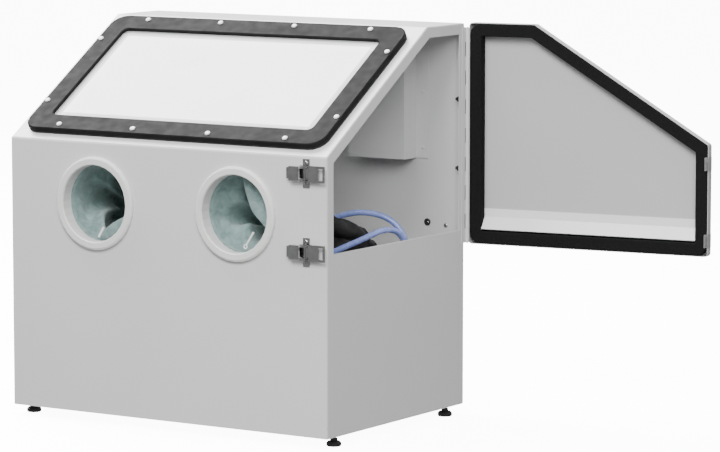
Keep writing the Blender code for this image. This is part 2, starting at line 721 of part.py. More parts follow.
# ---------------------------------------------------------------- blast gun and hoses
def build_gun():
    rear_placed = along((1, 0, 0), (0, GUN_Y, GUN_Z))
    barrel = [
        (0, -0.055), (0.0115, -0.055), (0.0130, -0.052), (0.0130, -0.040), (0.0160, -0.036),
        (0.0160, 0.026), (0.0135, 0.030), (0.0090, 0.032), (0.0060, 0.036), (0.0052, 0.048), (0, 0.048),
    ]
    body = add_part("gun_body", revolve(barrel, rear_placed, 20), "gun_metal", smooth=True)
    top = Vector((0.018, GUN_Y - 0.006, GUN_Z))
    end = Vector(AIR_ROUTE[-1])
    down = (end - top).normalized()
    sides = 16
    grip = [
        (0.0120, 0), (0.0125, 0.030), (0.0130, 0.070), (0.0105, 0.074), (0.0060, 0.077),
        (0.0052, (end - top).length - 2 * GAP),
    ]
    side = down.cross(Vector((0, 0, 1)))
    loops = []
    for radius, reach in grip:
        centre = top + down * reach
        flat = radius if radius < 0.011 else radius * 0.85      # the grip is an oval, its end is round
        ring = []
        for k in range(sides):
            angle = 2 * math.pi * k / sides
            lift = Vector((0, 0, flat * math.sin(angle)))
            ring.append(centre + side * (radius * math.cos(angle)) + lift)
        loops.append(ring)
    apply_boolean(body, loft(loops), "UNION")
    seat = -0.055 - GAP
    nozzle = [
        (0.0040, -0.092), (0.0065, -0.092), (0.0085, -0.088), (0.0085, seat), (0.0040, seat),
    ]
    add_part("gun_nozzle", revolve(nozzle, rear_placed, 20), "ceramic", smooth=True)
    build_trigger()


def build_trigger():
    """A flat bar with round ends, pivoted at the end next to the barrel."""
    pivot = Vector((*TRIGGER_PIVOT, GUN_Z))
    tip = Vector((*TRIGGER_TIP, GUN_Z))
    reach = (tip - pivot).normalized()
    across = Vector((-reach.y, reach.x, 0))
    outline = []
    for centre, start in ((pivot, 0), (tip, math.pi)):
        for k in range(5):
            angle = start + math.pi * k / 4
            turned = across * math.cos(angle) - reach * math.sin(angle)
            outline.append(centre + turned * TRIGGER_HALF_WIDTH)
    low = GUN_Z - TRIGGER_HALF_HEIGHT
    high = GUN_Z + TRIGGER_HALF_HEIGHT
    trigger = prism([(p.x, p.y) for p in outline], "Z", low, high)
    add_part("gun_trigger", trigger, "gun_metal", tuple(pivot))


def build_hose(name, route):
    curve = bpy.data.curves.new(name, "CURVE")
    curve.dimensions = "3D"
    curve.bevel_depth = HOSE_RADIUS
    curve.bevel_resolution = 2
    curve.use_fill_caps = True
    spline = curve.splines.new("POLY")
    points = smooth_route(route, 2)
    spline.points.add(len(points) - 1)
    for point, place in zip(spline.points, points):
        point.co = (*place, 1.0)
    curve.materials.append(make_finish("blue_hose"))
    hose = bpy.data.objects.new(name, curve)
    bpy.context.scene.collection.objects.link(hose)


# ---------------------------------------------------------------- side door and hinge
DOOR_CORNERS = [
    (DOOR_FRONT, DOOR_LOW), (DOOR_REAR, DOOR_LOW), (DOOR_REAR, DOOR_HIGH),
    (ROOF_FRONT, DOOR_HIGH), (DOOR_FRONT, DOOR_CORNER_Z),
]


def make_door_axis():
    """Empty on the hinge pin.  Door pieces are drawn shut, and this turns them open."""
    axis = bpy.data.objects.new("door_axis", None)
    axis.location = (HINGE_X, HINGE_Y, 0)
    axis.rotation_euler.z = math.radians(DOOR_OPEN_DEG)
    bpy.context.scene.collection.objects.link(axis)
    return axis


def door_loop(inset, x, radius=0.006):
    return [(x, p.x, p.y) for p in rounded_outline(DOOR_CORNERS, radius, inset)]


def add_door_part(name, bm, finish, axis, smooth=False):
    part = add_part(name, bm, finish, tuple(axis.location), smooth=smooth)
    part.parent = axis
    part.location = (0, 0, 0)
    return part


def build_door(axis):
    inner = DOOR_OUTER_X - DOOR_SHEET
    fold = BEND - DOOR_SHEET           # inside radius of the pan's folds
    loops = [
        door_loop(BEND, inner), door_loop(DOOR_SHEET, inner - fold),
        door_loop(DOOR_SHEET, DOOR_RIM_X), door_loop(0, DOOR_RIM_X),
        door_loop(0, DOOR_OUTER_X - BEND), door_loop(0.0009, DOOR_OUTER_X - 0.0009),
        door_loop(BEND, DOOR_OUTER_X),
    ]
    add_door_part("door_panel", loft(loops), "door_paint", axis)
    outer = DOOR_SHEET + 2 * GAP
    far = outer + GASKET_WIDTH
    back = inner - fold - GAP
    foam = [
        (outer, back), (outer, GASKET_FACE_X + 0.0010), (outer + 0.0015, GASKET_FACE_X),
        (far - 0.0015, GASKET_FACE_X), (far, GASKET_FACE_X + 0.0015), (far, back),
    ]
    loops = [door_loop(inset, x, FOAM_RADIUS) for inset, x in foam]
    add_door_part("door_gasket", loft(loops, closed=True), "foam", axis)
    face = inner - GAP
    outline = [
        (face, DEFLECTOR_TOP), (face - DOOR_SHEET, DEFLECTOR_TOP), (face - DOOR_SHEET, 0.3505),
        (GASKET_FACE_X + 0.0013, 0.3296), (GASKET_FACE_X + 0.0020, 0.3286), (face, 0.3497),
    ]
    edge = far + GAP
    plate = loft([[(x, y, z) for x, z in outline] for y in (DOOR_FRONT + edge, DOOR_REAR - edge)])
    add_door_part("door_deflector", plate, "door_paint", axis)
    for name, height in LATCH_HEIGHTS.items():
        build_strike(name, height, axis)


def build_strike(name, height, axis):
    """Plate on the door's front flange that steps down to the casing and ends in a hook."""
    seat = FRONT - DOOR_FRONT + GAP
    outer_end = 0.366
    tip = 0.3435
    step = 0.3516                  # where the plate steps down beside the door's flange
    low, high = 0.0035, 0.0060     # the hook's underside and tip, off the casing's front
    outline = [
        (outer_end, seat + DOOR_SHEET), (step - DOOR_SHEET, seat + DOOR_SHEET),
        (step - DOOR_SHEET, low + DOOR_SHEET), (tip + DOOR_SHEET, low + DOOR_SHEET),
        (tip + DOOR_SHEET, high), (tip, high), (tip, low), (step, low), (step, seat),
        (outer_end, seat),
    ]
    half = 0.012
    bm = prism([(x, FRONT - off) for x, off in outline], "Z", height - half, height + half)
    add_door_part(name + "_strike", bm, "zinc_steel", axis)


def knuckle_heights(first):
    pitch = (HINGE_HIGH - HINGE_LOW) / KNUCKLES
    edge = 0.0002
    heights = []
    for i in range(first, KNUCKLES, 2):
        low = HINGE_LOW + i * pitch
        heights.append((low + edge, low + pitch - edge))
    return heights


def comb_outline(far, root, tip, first):
    """Leaf outline in (distance, z): a strip with a tab at each of its own knuckles."""
    outline = [(far, HINGE_HIGH), (far, HINGE_LOW), (root, HINGE_LOW)]
    for low, high in knuckle_heights(first):
        if low - HINGE_LOW > 0.001:
            outline.append((root, low))
        outline += [(tip, low), (tip, high)]
        if HINGE_HIGH - high > 0.001:
            outline.append((root, high))
    outline.append((root, HINGE_HIGH))
    clean = []
    for p in outline:
        if not clean or (Vector(p) - Vector(clean[-1])).length > 0.0003:
            clean.append(p)
    return clean


def knuckle_rings(first):
    rings = []
    for low, high in knuckle_heights(first):
        bore = PIN_RADIUS + GAP
        profile = [(bore, low), (KNUCKLE_RADIUS, low), (KNUCKLE_RADIUS, high), (bore, high)]
        rings.append(revolve(profile, Matrix.Translation((HINGE_X, HINGE_Y, 0)), 10))
    return join_bmeshes(rings)


def build_hinge(axis):
    leaf = 0.0010
    clear = KNUCKLE_RADIUS + 0.0009
    near = HINGE_X - KNUCKLE_RADIUS
    outline = comb_outline(HINGE_Y - LEAF_WIDTH, HINGE_Y - clear, HINGE_Y, 0)
    cabinet = add_part("hinge_leaf_cabinet", prism(outline, "X", near, near + leaf), "casing_paint")
    apply_boolean(cabinet, knuckle_rings(0), "UNION")
    rear = HINGE_Y - KNUCKLE_RADIUS
    outline = comb_outline(HINGE_X + LEAF_WIDTH, HINGE_X + clear, HINGE_X, 1)
    plate = prism(outline, "Y", rear, rear + leaf)
    door_leaf = add_part("hinge_leaf_door", plate, "casing_paint", tuple(axis.location))
    apply_boolean(door_leaf, knuckle_rings(1), "UNION")
    for piece in (door_leaf, door_leaf.modifiers[-1].object):
        piece.parent = axis
        piece.location = (0, 0, 0)
    low = HINGE_LOW - 0.001
    high = HINGE_HIGH + 0.001
    pin = [(0, low), (PIN_RADIUS, low), (PIN_RADIUS, high), (0, high)]
    rod = revolve(pin, Matrix.Translation((HINGE_X, HINGE_Y, 0)), 8)
    add_part("hinge_pin", rod, "zinc_steel", smooth=True)


# ---------------------------------------------------------------- draw latches
def latch_point(along_x, off):
    return (LATCH_X + along_x, FRONT - off)


def latch_box(x0, x1, z0, z1, off0, off1):
    low_x, y0 = latch_point(x0, off1)
    high_x, y1 = latch_point(x1, off0)
    return box((low_x, y0, z0), (high_x, y1, z1))


def build_latch(name, height):
    """Base with two ears and two cheeks, and the lever that turns between the ears."""
    ears = 0.0255
    cheek = 0.0104
    inner = cheek - 0.0012
    top = 0.0099
    section = [
        (-ears, GAP), (ears, GAP), (ears, SHEET), (cheek, SHEET), (cheek, top), (inner, top),
        (inner, SHEET), (-inner, SHEET), (-inner, top), (-cheek, top), (-cheek, SHEET),
        (-ears, SHEET),
    ]
    loops = []
    for x in (-0.006, 0.008):
        loops.append([(LATCH_X + x, FRONT - off, height + v) for v, off in section])
    add_part(name + "_latch_base", loft(loops), "chrome")
    wide = 0.0124                  # half heights of the lever, of its slot and of its tab
    inside = 0.0110
    tab = 0.0100
    plan = [
        (-0.038, -tab), (-0.030, -tab), (-0.030, -wide), (0.0055, -wide), (0.0055, -inside),
        (-0.010, -inside), (-0.010, inside), (0.0055, inside), (0.0055, wide), (-0.030, wide),
        (-0.030, tab), (-0.038, tab),
    ]
    pivot_x, pivot_y = latch_point(*LEVER_PIVOT)
    outline = [(LATCH_X + x, height + z) for x, z in plan]
    lever = prism(outline, "Y", FRONT - 0.0115, FRONT - 0.0045)
    lever = add_part(name + "_latch_lever", lever, "chrome", (pivot_x, pivot_y, height))
    hollow = latch_box(-0.0288, -0.009, height - 0.0108, height + 0.0108, 0.003, 0.0103)
    step = latch_box(-0.040, -0.0302, height - 0.012, height + 0.012, 0.0060, 0.013)
    apply_boolean(lever, join_bmeshes([hollow, step]), "DIFFERENCE")
    build_latch_loop(name, height)


def build_latch_loop(name, height):
    """Stamped loop: two arms beside the lever and a plate with a slot that takes the strike."""
    pivot_x, pivot_y = latch_point(*LOOP_PIVOT)
    arm = 0.0146
    inside = 0.0128
    left = -0.008
    start = 0.0093                 # where the arms join the plate
    right = 0.044
    outline = [
        (left, -arm), (right, -arm), (right, arm), (left, arm), (left, inside),
        (start, inside), (start, -inside), (left, -inside),
    ]
    outline = [(LATCH_X + x, height + z) for x, z in outline]
    plate = prism(outline, "Y", FRONT - 0.0089, FRONT - 0.0065)
    loop = add_part(name + "_latch_loop", plate, "chrome", (pivot_x, pivot_y, height))
    slot = latch_box(0.031, 0.040, height - 0.0105, height + 0.0105, 0.005, 0.012)
    apply_boolean(loop, slot, "DIFFERENCE")


# ---------------------------------------------------------------- feet
def build_feet():
    """A rubber pad and nut on a stud that goes up through the floor."""
    sole = -FOOT_HEIGHT
    chamfer = 0.0015
    nut = 0.0065
    nut_top = -0.0045
    stud_top = 0.014
    profile = [
        (0, sole), (FOOT_PAD - chamfer, sole), (FOOT_PAD, sole + chamfer),
        (FOOT_PAD, sole + 0.0065), (0.0105, sole + 0.0095), (nut, sole + 0.0105),
        (nut, nut_top), (FOOT_STUD, nut_top), (FOOT_STUD, stud_top), (0, stud_top),
    ]
    for row, y in (("front", -FOOT_Y), ("rear", FOOT_Y)):
        for side, x in (("left", -FOOT_X), ("right", FOOT_X)):
            bm = revolve(profile, Matrix.Translation((x, y, 0)), 20)
            add_part(f"foot_{row}_{side}", bm, "black_rubber", (x, y, 0), smooth=True)


def build_cabinet():
    clear_objects()
    build_front_panel()
    build_slope_panel()
    build_roof_and_floor()
    build_rear_panel()
    build_side_panels()
    build_window()
    build_ports()
    build_rear_fittings()
    build_lamp()
    build_grate()
    build_hopper()
    build_pickup_tube()
    build_gun()
    build_hose("suction_hose", SUCTION_ROUTE)
    build_hose("air_hose", AIR_ROUTE)
    axis = make_door_axis()
    build_door(axis)
    build_hinge(axis)
    for name, height in LATCH_HEIGHTS.items():
        build_latch(name, height)
    build_feet()


build_cabinet()
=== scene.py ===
"""Looks of a bench-top sandblast cabinet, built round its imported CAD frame.

Metres, in the frame's own axes: +X is the operator's right, -Y the front, +Z up.
"""
import math

import bmesh
import bpy
from mathutils import Matrix, Vector, noise


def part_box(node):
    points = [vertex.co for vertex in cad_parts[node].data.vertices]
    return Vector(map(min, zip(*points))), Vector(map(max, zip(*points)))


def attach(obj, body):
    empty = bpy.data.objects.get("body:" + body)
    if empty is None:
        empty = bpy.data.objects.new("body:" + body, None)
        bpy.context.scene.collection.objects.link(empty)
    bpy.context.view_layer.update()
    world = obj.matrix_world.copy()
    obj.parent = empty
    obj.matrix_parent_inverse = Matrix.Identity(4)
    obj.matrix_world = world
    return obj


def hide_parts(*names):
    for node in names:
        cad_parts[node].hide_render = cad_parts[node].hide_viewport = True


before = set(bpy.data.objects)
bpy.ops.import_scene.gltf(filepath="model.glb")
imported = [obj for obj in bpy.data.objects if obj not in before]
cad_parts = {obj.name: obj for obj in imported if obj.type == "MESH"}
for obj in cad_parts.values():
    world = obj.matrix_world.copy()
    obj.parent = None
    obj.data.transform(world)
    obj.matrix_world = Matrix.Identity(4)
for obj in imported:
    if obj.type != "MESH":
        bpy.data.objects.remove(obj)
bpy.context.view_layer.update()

# ---------------------------------------------------------------- places taken from the frame
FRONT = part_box("front_panel")[0].y
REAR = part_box("rear_panel")[1].y
HALF_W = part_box("rear_panel")[1].x
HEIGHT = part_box("roof_panel")[1].z
FLOOR_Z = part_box("foot_front_left")[0].z
SHEET = 0.0015                     # the casing's steel
INNER_REAR = REAR - SHEET

# ---------------------------------------------------------------- places that no box in the frame gives
FRONT_HEIGHT = 0.500               # where the front turns into the slope
ROOF_FRONT = 0.101                 # where the slope turns into the roof
SLOPE_RUN = Vector((0, ROOF_FRONT - FRONT, HEIGHT - FRONT_HEIGHT)).normalized()
OPENING_HALF_W = 0.275             # the slope panel's opening: half width, and up the slope
OPENING_LOW = 0.071
OPENING_HIGH = 0.317

LATCHES = {"lower": 0.330, "upper": 0.4695}        # height of each latch's centre
LATCH_X = 0.306
LEVER_PIVOT = Vector((0.308, -0.239))               # (x, y)

PORT_X = 0.1555
PORT_Z = 0.388

# middle lines of the two hoses, from their fitting to the gun
HOSE_RADIUS = 0.0055
SUCTION_ROUTE = [
    (0.1105, 0.0402, 0.1410), (0.126, 0.046, 0.158), (0.143, 0.0525, 0.176), (0.166, 0.064, 0.194),
    (0.195, 0.083, 0.208), (0.230, 0.108, 0.217), (0.262, 0.130, 0.229), (0.2795, 0.1385, 0.2475),
    (0.288, 0.1385, 0.268), (0.2905, 0.132, 0.286), (0.2915, 0.1258, 0.301), (0.2905, 0.1212, 0.313),
    (0.2866, 0.118, 0.325), (0.2797, 0.1152, 0.336), (0.269, 0.112, 0.347), (0.255, 0.106, 0.356),
    (0.237, 0.099, 0.3615), (0.215, 0.091, 0.3635), (0.194, 0.0825, 0.361), (0.172, 0.074, 0.3545),
    (0.146, 0.064, 0.342), (0.118, 0.053, 0.325), (0.093, 0.045, 0.310), (0.071, 0.0405, 0.3015),
    (0.0485, 0.040, 0.2992),
]
AIR_ROUTE = [
    (0.299, 0.2087, 0.236), (0.299, 0.190, 0.236), (0.2995, 0.168, 0.239), (0.301, 0.146, 0.249),
    (0.302, 0.130, 0.265), (0.302, 0.119, 0.284), (0.3005, 0.110, 0.303), (0.2985, 0.098, 0.321),
    (0.297, 0.081, 0.334), (0.2935, 0.060, 0.3395), (0.289, 0.038, 0.3390), (0.284, 0.013, 0.3335),
    (0.278, -0.018, 0.326), (0.272, -0.052, 0.319), (0.266, -0.085, 0.312), (0.257, -0.115, 0.303),
    (0.242, -0.141, 0.294), (0.218, -0.158, 0.2895), (0.190, -0.166, 0.2886), (0.155, -0.163, 0.2886),
    (0.120, -0.151, 0.2886), (0.088, -0.134, 0.2888), (0.064, -0.116, 0.2905), (0.048, -0.096, 0.2950),
    (0.0393, -0.0735, 0.2985), (0.0353, -0.0533, 0.2992),
]


# ---------------------------------------------------------------- camera, light and floor
CAMERA_PLACE = Vector((3.9236, -5.648, 1.157))
CAMERA_TURN = math.radians(32.975)
CAMERA_DOWN = math.radians(6.8425)
LENS_MM = 186.66
SHIFT_X = 0.0064
SHIFT_Y = 0.00096
WORLD_LIGHT = 0.46
SOFTBOXES = {                       # place, the point it faces, width and length, watts
    "overhead_light": ((-2.3, 0.50, 4.2), (0, 0, 0.5), (3.0, 3.8), 860),
    "front_light": ((0.9, -3.9, 4.3), (0, 0, 0.4), (2.6, 2.0), 330),
    "door_side_light": ((3.3, -3.6, 2.8), (0, 0, 0.4), (2.6, 2.0), 190),
}
FLOOR_GLOW = 11.0
FLOOR_HALF = 30


def add_camera():
    data = bpy.data.cameras.new("camera")
    data.lens = LENS_MM
    data.sensor_width = 36
    data.shift_x = SHIFT_X
    data.shift_y = SHIFT_Y
    data.clip_end = 100
    camera = bpy.data.objects.new("camera", data)
    camera.location = CAMERA_PLACE
    camera.rotation_euler = (math.pi / 2 - CAMERA_DOWN, 0, CAMERA_TURN)
    bpy.context.scene.collection.objects.link(camera)
    bpy.context.scene.camera = camera


def add_softbox(name, place, aim, size, power):
    data = bpy.data.lights.new(name, "AREA")
    data.shape = "RECTANGLE"
    data.size, data.size_y = size
    data.energy = power
    light = bpy.data.objects.new(name, data)
    light.location = place
    light.rotation_euler = (Vector(aim) - Vector(place)).to_track_quat("-Z", "Y").to_euler()
    bpy.context.scene.collection.objects.link(light)


def add_light():
    world = bpy.data.worlds.new("studio")
    world.use_nodes = True
    sky = world.node_tree.nodes["Background"]
    sky.inputs["Color"].default_value = (1, 1, 1, 1)
    sky.inputs["Strength"].default_value = WORLD_LIGHT
    bpy.context.scene.world = world
    for name, (place, aim, size, power) in SOFTBOXES.items():
        add_softbox(name, place, aim, size, power)


def add_floor():
    """A floor that glows white, hidden from diffuse and glossy rays so that it lights nothing."""
    half = FLOOR_HALF
    corners = [(-half, -half), (half, -half), (half, half), (-half, half)]
    floor = new_piece("floor", prism_mesh(corners, FLOOR_Z - 0.02, FLOOR_Z), "studio_floor")
    floor.visible_diffuse = False
    floor.visible_glossy = False


# ---------------------------------------------------------------- mesh tools
def new_piece(name, bm, finish, body=None, smooth_deg=None):
    """Turn bm, drawn in the frame's axes, into a piece that rides on a body."""
    bmesh.ops.recalc_face_normals(bm, faces=bm.faces)
    mesh = bpy.data.meshes.new(name)
    bm.to_mesh(mesh)
    bm.free()
    if smooth_deg:
        mesh.shade_smooth()
        mesh.set_sharp_from_angle(angle=math.radians(smooth_deg))
    mesh.materials.append(finish_named(finish))
    piece = bpy.data.objects.new(name, mesh)
    bpy.context.scene.collection.objects.link(piece)
    if body:
        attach(piece, body)
    return piece


def loft_mesh(loops, closed=False, capped=True, placed=None):
    """Skin loops of equal count; the ends are joined to each other, capped or left open."""
    bm = bmesh.new()
    rows = []
    for points in loops:
        rows.append([bm.verts.new(placed @ Vector(p) if placed else Vector(p)) for p in points])
    count = len(rows[0])
    pairs = list(zip(rows, rows[1:]))
    if closed:
        pairs.append((rows[-1], rows[0]))
    for low, high in pairs:
        for i in range(count):
            j = (i + 1) % count
            bm.faces.new((low[i], low[j], high[j], high[i]))
    if capped and not closed:
        bm.faces.new(rows[0][::-1])
        bm.faces.new(rows[-1])
    return bm


def prism_mesh(outline, low, high):
    return loft_mesh([[(x, y, z) for x, y in outline] for z in (low, high)])


def revolve_mesh(profile, placed, segments=24, turn=0.0):
    """Turn a (radius, height) profile that ends on the axis about local Z."""
    bm = bmesh.new()
    rows = []
    for radius, height in profile:
        if radius == 0:
            rows.append([bm.verts.new(placed @ Vector((0, 0, height)))])
            continue
        ring = []
        for i in range(segments):
            angle = 2 * math.pi * i / segments + turn
            point = Vector((radius * math.cos(angle), radius * math.sin(angle), height))
            ring.append(bm.verts.new(placed @ point))
        rows.append(ring)
    for low, high in zip(rows, rows[1:]):
        for i in range(segments):
            j = (i + 1) % segments
            corners = [low[i % len(low)], low[j % len(low)], high[j % len(high)], high[i % len(high)]]
            bm.faces.new(list(dict.fromkeys(corners)))
    return bm


def facing(direction, place):
    """Matrix that lays local Z along a direction, with its origin at a place."""
    turn = Vector(direction).to_track_quat("Z", "Y").to_matrix().to_4x4()
    return Matrix.Translation(Vector(place)) @ turn


def merged(meshes):
    whole = bmesh.new()
    for bm in meshes:
        scratch = bpy.data.meshes.new("scratch")
        bm.to_mesh(scratch)
        bm.free()
        whole.from_mesh(scratch)
        bpy.data.meshes.remove(scratch)
    return whole


def smooth_route(route, per_span):
    """Catmull-Rom curve through the route's points."""
    points = [Vector(p) for p in route]
    ends = [points[0] * 2 - points[1]] + points + [points[-1] * 2 - points[-2]]
    result = []
    for a, b, c, d in zip(ends, ends[1:], ends[2:], ends[3:]):
        for k in range(per_span):
            t = k / per_span
            result.append(
                0.5 * (2 * b + (c - a) * t + (2 * a - 5 * b + 4 * c - d) * t * t
                       + (3 * b - a - 3 * c + d) * t ** 3)
            )
    result.append(points[-1])
    return result


def ease(low, high, value):
    """0 below low, 1 above high, and a smooth step between."""
    t = min(max((value - low) / (high - low), 0), 1)
    return t * t * (3 - 2 * t)


# ---------------------------------------------------------------- materials
PATTERN_LOW = 0.3                   # most of a noise texture's values lie between these
PATTERN_HIGH = 0.7


class Finish:
    """One node material, whose pattern is fixed to the piece."""

    def __init__(self, name, roughness, metallic=0.0):
        self.material = bpy.data.materials.new(name)
        self.material.use_nodes = True
        tree = self.material.node_tree
        self.nodes = tree.nodes
        self.links = tree.links
        self.shader = self.nodes["Principled BSDF"]
        self.shader.inputs["Roughness"].default_value = roughness
        self.shader.inputs["Metallic"].default_value = metallic
        self.place = self.nodes.new("ShaderNodeTexCoord").outputs["Object"]
        self.bumped = None

    def stretched(self, stretch):
        scaling = self.nodes.new("ShaderNodeMapping")
        scaling.inputs["Scale"].default_value = stretch
        self.links.new(self.place, scaling.inputs["Vector"])
        return scaling.outputs["Vector"]

    def clouds(self, scale, detail=2.0, stretch=(1, 1, 1), distortion=0.0):
        made = self.nodes.new("ShaderNodeTexNoise")
        made.inputs["Scale"].default_value = scale
        made.inputs["Detail"].default_value = detail
        made.inputs["Distortion"].default_value = distortion
        self.links.new(self.stretched(stretch), made.inputs["Vector"])
        return made.outputs["Fac"]

    def cells(self, scale):
        made = self.nodes.new("ShaderNodeTexVoronoi")
        made.inputs["Scale"].default_value = scale
        self.links.new(self.place, made.inputs["Vector"])
        return made.outputs["Distance"]

    def colour(self, pattern, dark, light, low=PATTERN_LOW, high=PATTERN_HIGH):
        ramp = self.nodes.new("ShaderNodeValToRGB")
        ramp.color_ramp.elements[0].position = low
        ramp.color_ramp.elements[1].position = high
        ramp.color_ramp.elements[0].color = (*dark, 1)
        ramp.color_ramp.elements[1].color = (*light, 1)
        self.links.new(pattern, ramp.inputs["Fac"])
        self.links.new(ramp.outputs["Color"], self.shader.inputs["Base Color"])

    def vary(self, socket, pattern, low, high):
        spread = self.nodes.new("ShaderNodeMapRange")
        spread.inputs["From Min"].default_value = PATTERN_LOW
        spread.inputs["From Max"].default_value = PATTERN_HIGH
        spread.inputs["To Min"].default_value = low
        spread.inputs["To Max"].default_value = high
        self.links.new(pattern, spread.inputs["Value"])
        self.links.new(spread.outputs["Result"], self.shader.inputs[socket])

    def bump(self, pattern, depth, strength=1.0):
        made = self.nodes.new("ShaderNodeBump")
        made.inputs["Strength"].default_value = strength
        made.inputs["Distance"].default_value = depth
        self.links.new(pattern, made.inputs["Height"])
        if self.bumped:
            self.links.new(self.bumped, made.inputs["Normal"])
        self.bumped = made.outputs["Normal"]
        self.links.new(self.bumped, self.shader.inputs["Normal"])

    def maths(self, operation, first, second=None):
        made = self.nodes.new("ShaderNodeMath")
        made.operation = operation
        for socket, value in zip(made.inputs, (first, second)):
            if isinstance(value, (int, float)):
                socket.default_value = value
            elif value:
                self.links.new(value, socket)
        return made.outputs["Value"]

    def distance_past(self, direction, middle, half):
        """Distance beyond half from the middle, measured along a direction."""
        along = self.nodes.new("ShaderNodeVectorMath")
        along.operation = "DOT_PRODUCT"
        along.inputs[1].default_value = direction
        self.links.new(self.place, along.inputs[0])
        off = self.maths("ABSOLUTE", self.maths("SUBTRACT", along.outputs["Value"], middle))
        return self.maths("SUBTRACT", off, half)

    def set(self, **values):
        for socket, value in values.items():
            self.shader.inputs[socket.replace("_", " ")].default_value = value


def grey(value, warmth=0.0):
    return (value * (1 + warmth), value, value * (1 - warmth))


def powder_coat(name, tone):
    """Satin powder coat: a fine orange peel and a faint drift in tone."""
    made = Finish(name, 0.37)
    made.colour(made.clouds(4), grey(tone * 0.985), grey(tone * 1.015, -0.004))
    made.vary("Roughness", made.clouds(30), 0.34, 0.40)
    made.bump(made.clouds(520, 2), 0.00006, 0.5)
    made.bump(made.clouds(90, 1), 0.00010, 0.35)
    return made


def moulded_plastic(name, dark, light, roughness):
    made = Finish(name, roughness)
    made.colour(made.clouds(26, 3), dark, light)
    made.vary("Roughness", made.clouds(60), roughness - 0.06, roughness + 0.06)
    made.bump(made.clouds(900, 2), 0.00005, 0.4)
    return made


def soft_black(name, dark, light, roughness, grain, depth):
    made = Finish(name, roughness)
    made.colour(made.clouds(grain / 3, 3), dark, light)
    made.vary("Roughness", made.clouds(grain / 5), roughness - 0.10, roughness + 0.08)
    made.bump(made.clouds(grain, 3), depth, 0.6)
    return made


def foam():
    made = Finish("foam", 0.92)
    made.colour(made.cells(700), grey(0.003), grey(0.011), 0.1, 0.7)
    made.bump(made.cells(700), 0.00025, 0.8)
    made.bump(made.clouds(35, 2), 0.0005, 0.5)
    return made


def suede():
    """The gloves' lining: short grey-green fibres, brushed unevenly."""
    made = Finish("suede", 0.94)
    made.colour(made.clouds(70, 5, distortion=0.8), (0.12, 0.190, 0.183), (0.22, 0.320, 0.308))
    made.bump(made.clouds(750, 4, stretch=(1, 0.35, 1)), 0.0004, 0.9)
    made.bump(made.clouds(45, 2, distortion=1.0), 0.0012, 0.5)
    made.set(Sheen_Weight=0.35, Sheen_Roughness=0.55)
    return made


def bright_metal(name, tone, smooth, rough, grain=90):
    made = Finish(name, smooth, 1.0)
    made.colour(made.clouds(grain, 3), grey(tone * 0.88), grey(tone * 1.08))
    made.vary("Roughness", made.clouds(grain * 1.7, 3), smooth, rough)
    made.bump(made.clouds(grain * 4, 2), 0.00008, 0.35)
    made.bump(made.clouds(grain * 2.2, 2), 0.0009, 0.5)
    return made


def brass():
    made = Finish("brass", 0.30, 1.0)
    made.colour(made.clouds(80, 3), (0.52, 0.36, 0.14), (0.66, 0.49, 0.22))
    made.bump(made.clouds(600, 2, stretch=(1, 8, 1)), 0.00006, 0.4)
    return made


def hose_plastic():
    made = Finish("hose_plastic", 0.24)
    made.colour(made.clouds(14, 2), (0.235, 0.305, 0.700), (0.330, 0.400, 0.800))
    made.vary("Roughness", made.clouds(90), 0.18, 0.32)
    made.bump(made.clouds(160, 2), 0.00008, 0.3)
    made.set(Subsurface_Weight=0.35, Subsurface_Scale=0.004, Coat_Weight=0.35, Coat_Roughness=0.12)
    made.shader.inputs["Subsurface Radius"].default_value = (0.6, 0.7, 1.0)
    return made


def whitish_pane():
    """A whitish pane, more opaque inside the steel's opening and clearer over the steel."""
    made = Finish("whitish_pane", 0.22)
    streaks = made.clouds(5, 4, stretch=(1, 3, 3), distortion=1.5)
    made.colour(streaks, (0.84, 0.85, 0.85), (0.90, 0.91, 0.91))
    made.vary("Roughness", made.clouds(12, 3), 0.16, 0.30)
    middle = (OPENING_LOW + OPENING_HIGH) / 2
    across = made.distance_past(Vector((1, 0, 0)), 0.0, OPENING_HALF_W)
    slope_start = SLOPE_RUN.dot(Vector((0, FRONT, FRONT_HEIGHT)))
    up = made.distance_past(SLOPE_RUN, middle + slope_start, (OPENING_HIGH - OPENING_LOW) / 2)
    edge = made.maths("MAXIMUM", across, up)
    fade_ends = (-0.0035, -0.0010)     # it fades out between these, inside the opening's edge
    opaque_alpha = 0.70
    clear_alpha = 0.32
    clear = made.nodes.new("ShaderNodeMapRange")
    clear.inputs["From Min"].default_value = fade_ends[0]
    clear.inputs["From Max"].default_value = fade_ends[1]
    clear.inputs["To Min"].default_value = opaque_alpha
    clear.inputs["To Max"].default_value = clear_alpha
    made.links.new(edge, clear.inputs["Value"])
    alpha_spread = made.nodes.new("ShaderNodeMapRange")
    alpha_spread.inputs["To Min"].default_value = 1.06
    alpha_spread.inputs["To Max"].default_value = 0.94
    made.links.new(streaks, alpha_spread.inputs["Value"])
    made.links.new(made.maths("MULTIPLY", clear.outputs["Result"], alpha_spread.outputs["Result"]),
                   made.shader.inputs["Alpha"])
    return made


